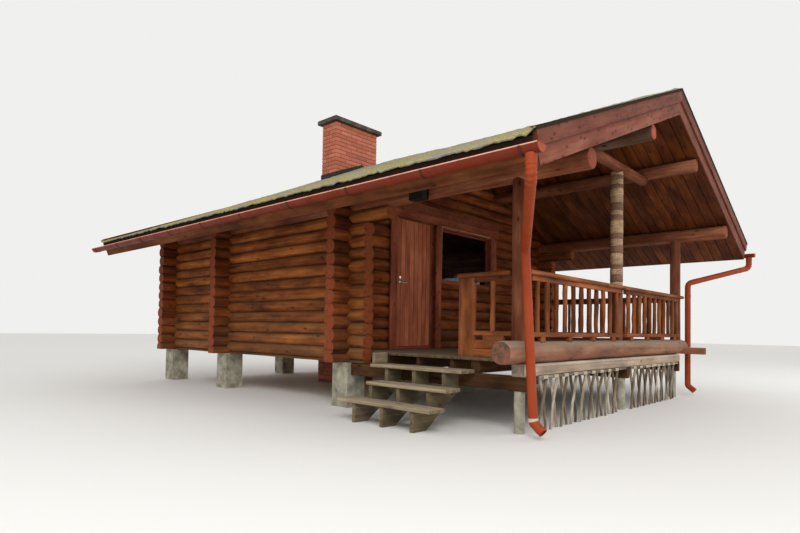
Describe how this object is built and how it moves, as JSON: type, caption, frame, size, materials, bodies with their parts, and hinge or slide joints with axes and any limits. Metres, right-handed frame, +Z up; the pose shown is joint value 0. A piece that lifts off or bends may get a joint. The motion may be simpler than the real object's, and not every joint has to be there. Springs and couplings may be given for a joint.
{
  "type": "log cabin with covered porch",
  "caption": "Round-log cabin with a gabled roof, a covered porch with railings and stairs, a boarded entrance door that opens, gutters and a brick chimney.",
  "frame": {"origin": "on the ground under the middle of the roof", "axes": "+X to the right along the front gable, +Y back along the ridge, +Z up"},
  "size_m": [7.574, 9.17, 5.005],
  "materials": {
    "log": "orange-brown stain on round logs, weathered on top",
    "brown_log": "dark red-brown stain on round logs",
    "red_board": "red-brown painted boards with knots",
    "door_boards": "red-brown painted tongue and groove boards",
    "rail_wood": "red-brown stained rails and round balusters",
    "grey_timber": "weathered grey timber",
    "stick": "natural grey sticks",
    "floor_boards": "planed floor boards",
    "roof": "boards under mossy grey felt",
    "orange_metal": "terracotta coated sheet",
    "sheet": "dark grey coated sheet",
    "brick": "red brick with pale joints",
    "cap": "dark grey slab",
    "concrete": "cast concrete",
    "steel": "satin steel",
    "glass": "clear glass"
  },
  "bodies": {
    "root": {"cabin_piers": "concrete", "porch_piers": "concrete", "chimney_stack": "brick", "chimney_cap": "cap", "chimney_flashing": "sheet", "left_wall": "log", "right_wall": "log", "rear_wall": "log", "front_wall_lower": "log", "front_wall_left": "log", "front_wall_under_window": "log", "front_wall_right": "log", "front_gable": "log", "inner_wall_left": "log", "inner_wall_right": "log", "inner_gable": "log", "cabin_floor": "floor_boards", "porch_deck": "grey_timber", "deck_frame": "grey_timber", "porch_sill_timber": "grey_timber", "porch_sill_log": "grey_timber", "porch_post_left": "brown_log", "porch_post_middle": "brown_log", "porch_post_right": "brown_log", "bolster_log": "brown_log", "plate_log_left": "brown_log", "plate_log_right": "brown_log", "purlin_log_left": "brown_log", "purlin_log_right": "brown_log", "roof_left": "roof", "roof_right": "roof", "bargeboard_front_left": "red_board", "bargeboard_front_right": "red_board", "bargeboard_rear_left": "red_board", "bargeboard_rear_right": "red_board", "fascia_left": "red_board", "fascia_right": "red_board", "gutter_left": "orange_metal", "gutter_right": "orange_metal", "downpipe_left": "orange_metal", "downpipe_right": "orange_metal", "door_frame": "red_board", "door_hinges": "steel", "front_casing": "red_board", "window_frame": "red_board", "window_glass": "glass", "railing_front_left": "rail_wood", "railing_front_right": "rail_wood", "railing_left": "rail_wood", "railing_right": "rail_wood", "stair_treads": "grey_timber", "stair_stringers": "grey_timber", "lattice_left": "stick", "lattice_right": "stick", "eave_lamp": "sheet"},
    "door": {"door_leaf": "door_boards", "door_handle": "steel"}
  },
  "joints": [
    {"name": "door_hinge", "type": "hinge", "parent": "root", "child": "door", "pos_m": [-0.895, -1.177, 0], "axis": [0, 0, 1], "range_deg": [0, 110]}
  ]
}
